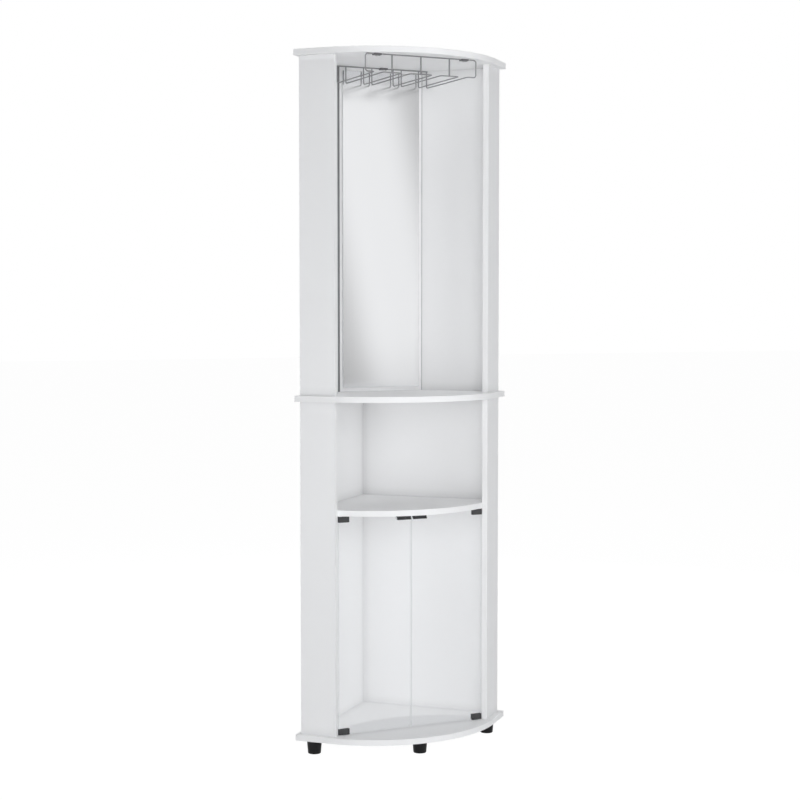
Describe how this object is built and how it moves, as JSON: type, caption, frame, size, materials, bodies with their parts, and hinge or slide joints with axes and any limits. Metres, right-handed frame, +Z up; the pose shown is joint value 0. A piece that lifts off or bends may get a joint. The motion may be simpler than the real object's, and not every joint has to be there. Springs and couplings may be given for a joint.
{
  "type": "corner bar cabinet",
  "caption": "Tall quarter-round corner bar cabinet with a mirrored upper bay, hanging stemware rack, open middle bay and glass doors below, on black feet.",
  "frame": {"origin": "on the floor, in the middle of the box round the cabinet", "axes": "+Z up, -Y out of the room corner towards the viewer, +X to the viewer's right"},
  "size_m": [0.6082, 0.4693, 1.805],
  "materials": {
    "white_board": "white melamine faced board, faint pearl texture",
    "white_edge": "white plastic edge band, satin",
    "mirror": "silvered glass",
    "tape": "white foam mounting tape",
    "clear_glass": "clear polished float glass with a green tint at the edges",
    "rack_wire": "bright plated wire",
    "dark_plastic": "black plastic, satin",
    "black_plastic": "black plastic, fine grain",
    "white_plastic": "white plastic",
    "steel": "zinc plated steel",
    "tenon_wood": "raw beech",
    "pad_rubber": "soft black pad"
  },
  "bodies": {
    "carcass": {"top_board": "white_board", "middle_board": "white_board", "base_board": "white_board", "inner_shelf": "white_board", "upper_left_wall": "white_board", "upper_right_wall": "white_board", "lower_left_wall": "white_board", "lower_right_wall": "white_board", "upper_left_wing": "white_board", "upper_right_wing": "white_board", "lower_left_wing": "white_board", "lower_right_wing": "white_board", "mirror_panel": "white_board", "top_edge_band": "white_edge", "middle_edge_band": "white_edge", "base_edge_band": "white_edge", "shelf_edge_band": "white_edge", "wing_edge_bands": "white_edge", "mirror_glass": "mirror", "mirror_tapes": "tape", "stemware_rack": "rack_wire", "rack_clips": "dark_plastic", "door_stop": "white_plastic", "pivot_bushes": "white_plastic", "feet": "black_plastic", "rack_clip_screws": "steel", "top_board_tenons": "tenon_wood", "middle_board_tenons": "tenon_wood", "base_board_tenons": "tenon_wood", "corner_tenons": "tenon_wood", "wing_tenons": "tenon_wood", "shelf_tenons": "tenon_wood", "mirror_panel_tenons": "tenon_wood"},
    "left_door": {"left_door_glass": "clear_glass", "left_handle": "dark_plastic", "left_bottom_hinge": "dark_plastic", "left_top_hinge": "dark_plastic", "left_hinge_pads": "pad_rubber", "left_hinge_screws": "steel"},
    "right_door": {"right_door_glass": "clear_glass", "right_handle": "dark_plastic", "right_bottom_hinge": "dark_plastic", "right_top_hinge": "dark_plastic", "right_hinge_pads": "pad_rubber", "right_hinge_screws": "steel"}
  },
  "joints": [
    {"name": "left_door_hinge", "type": "hinge", "parent": "carcass", "child": "left_door", "pos_m": [-0.19999, -0.12312, 0.337], "axis": [0, 0, -1], "range_deg": [0, 110]},
    {"name": "right_door_hinge", "type": "hinge", "parent": "carcass", "child": "right_door", "pos_m": [0.19999, -0.12312, 0.337], "axis": [0, 0, 1], "range_deg": [0, 110]}
  ]
}
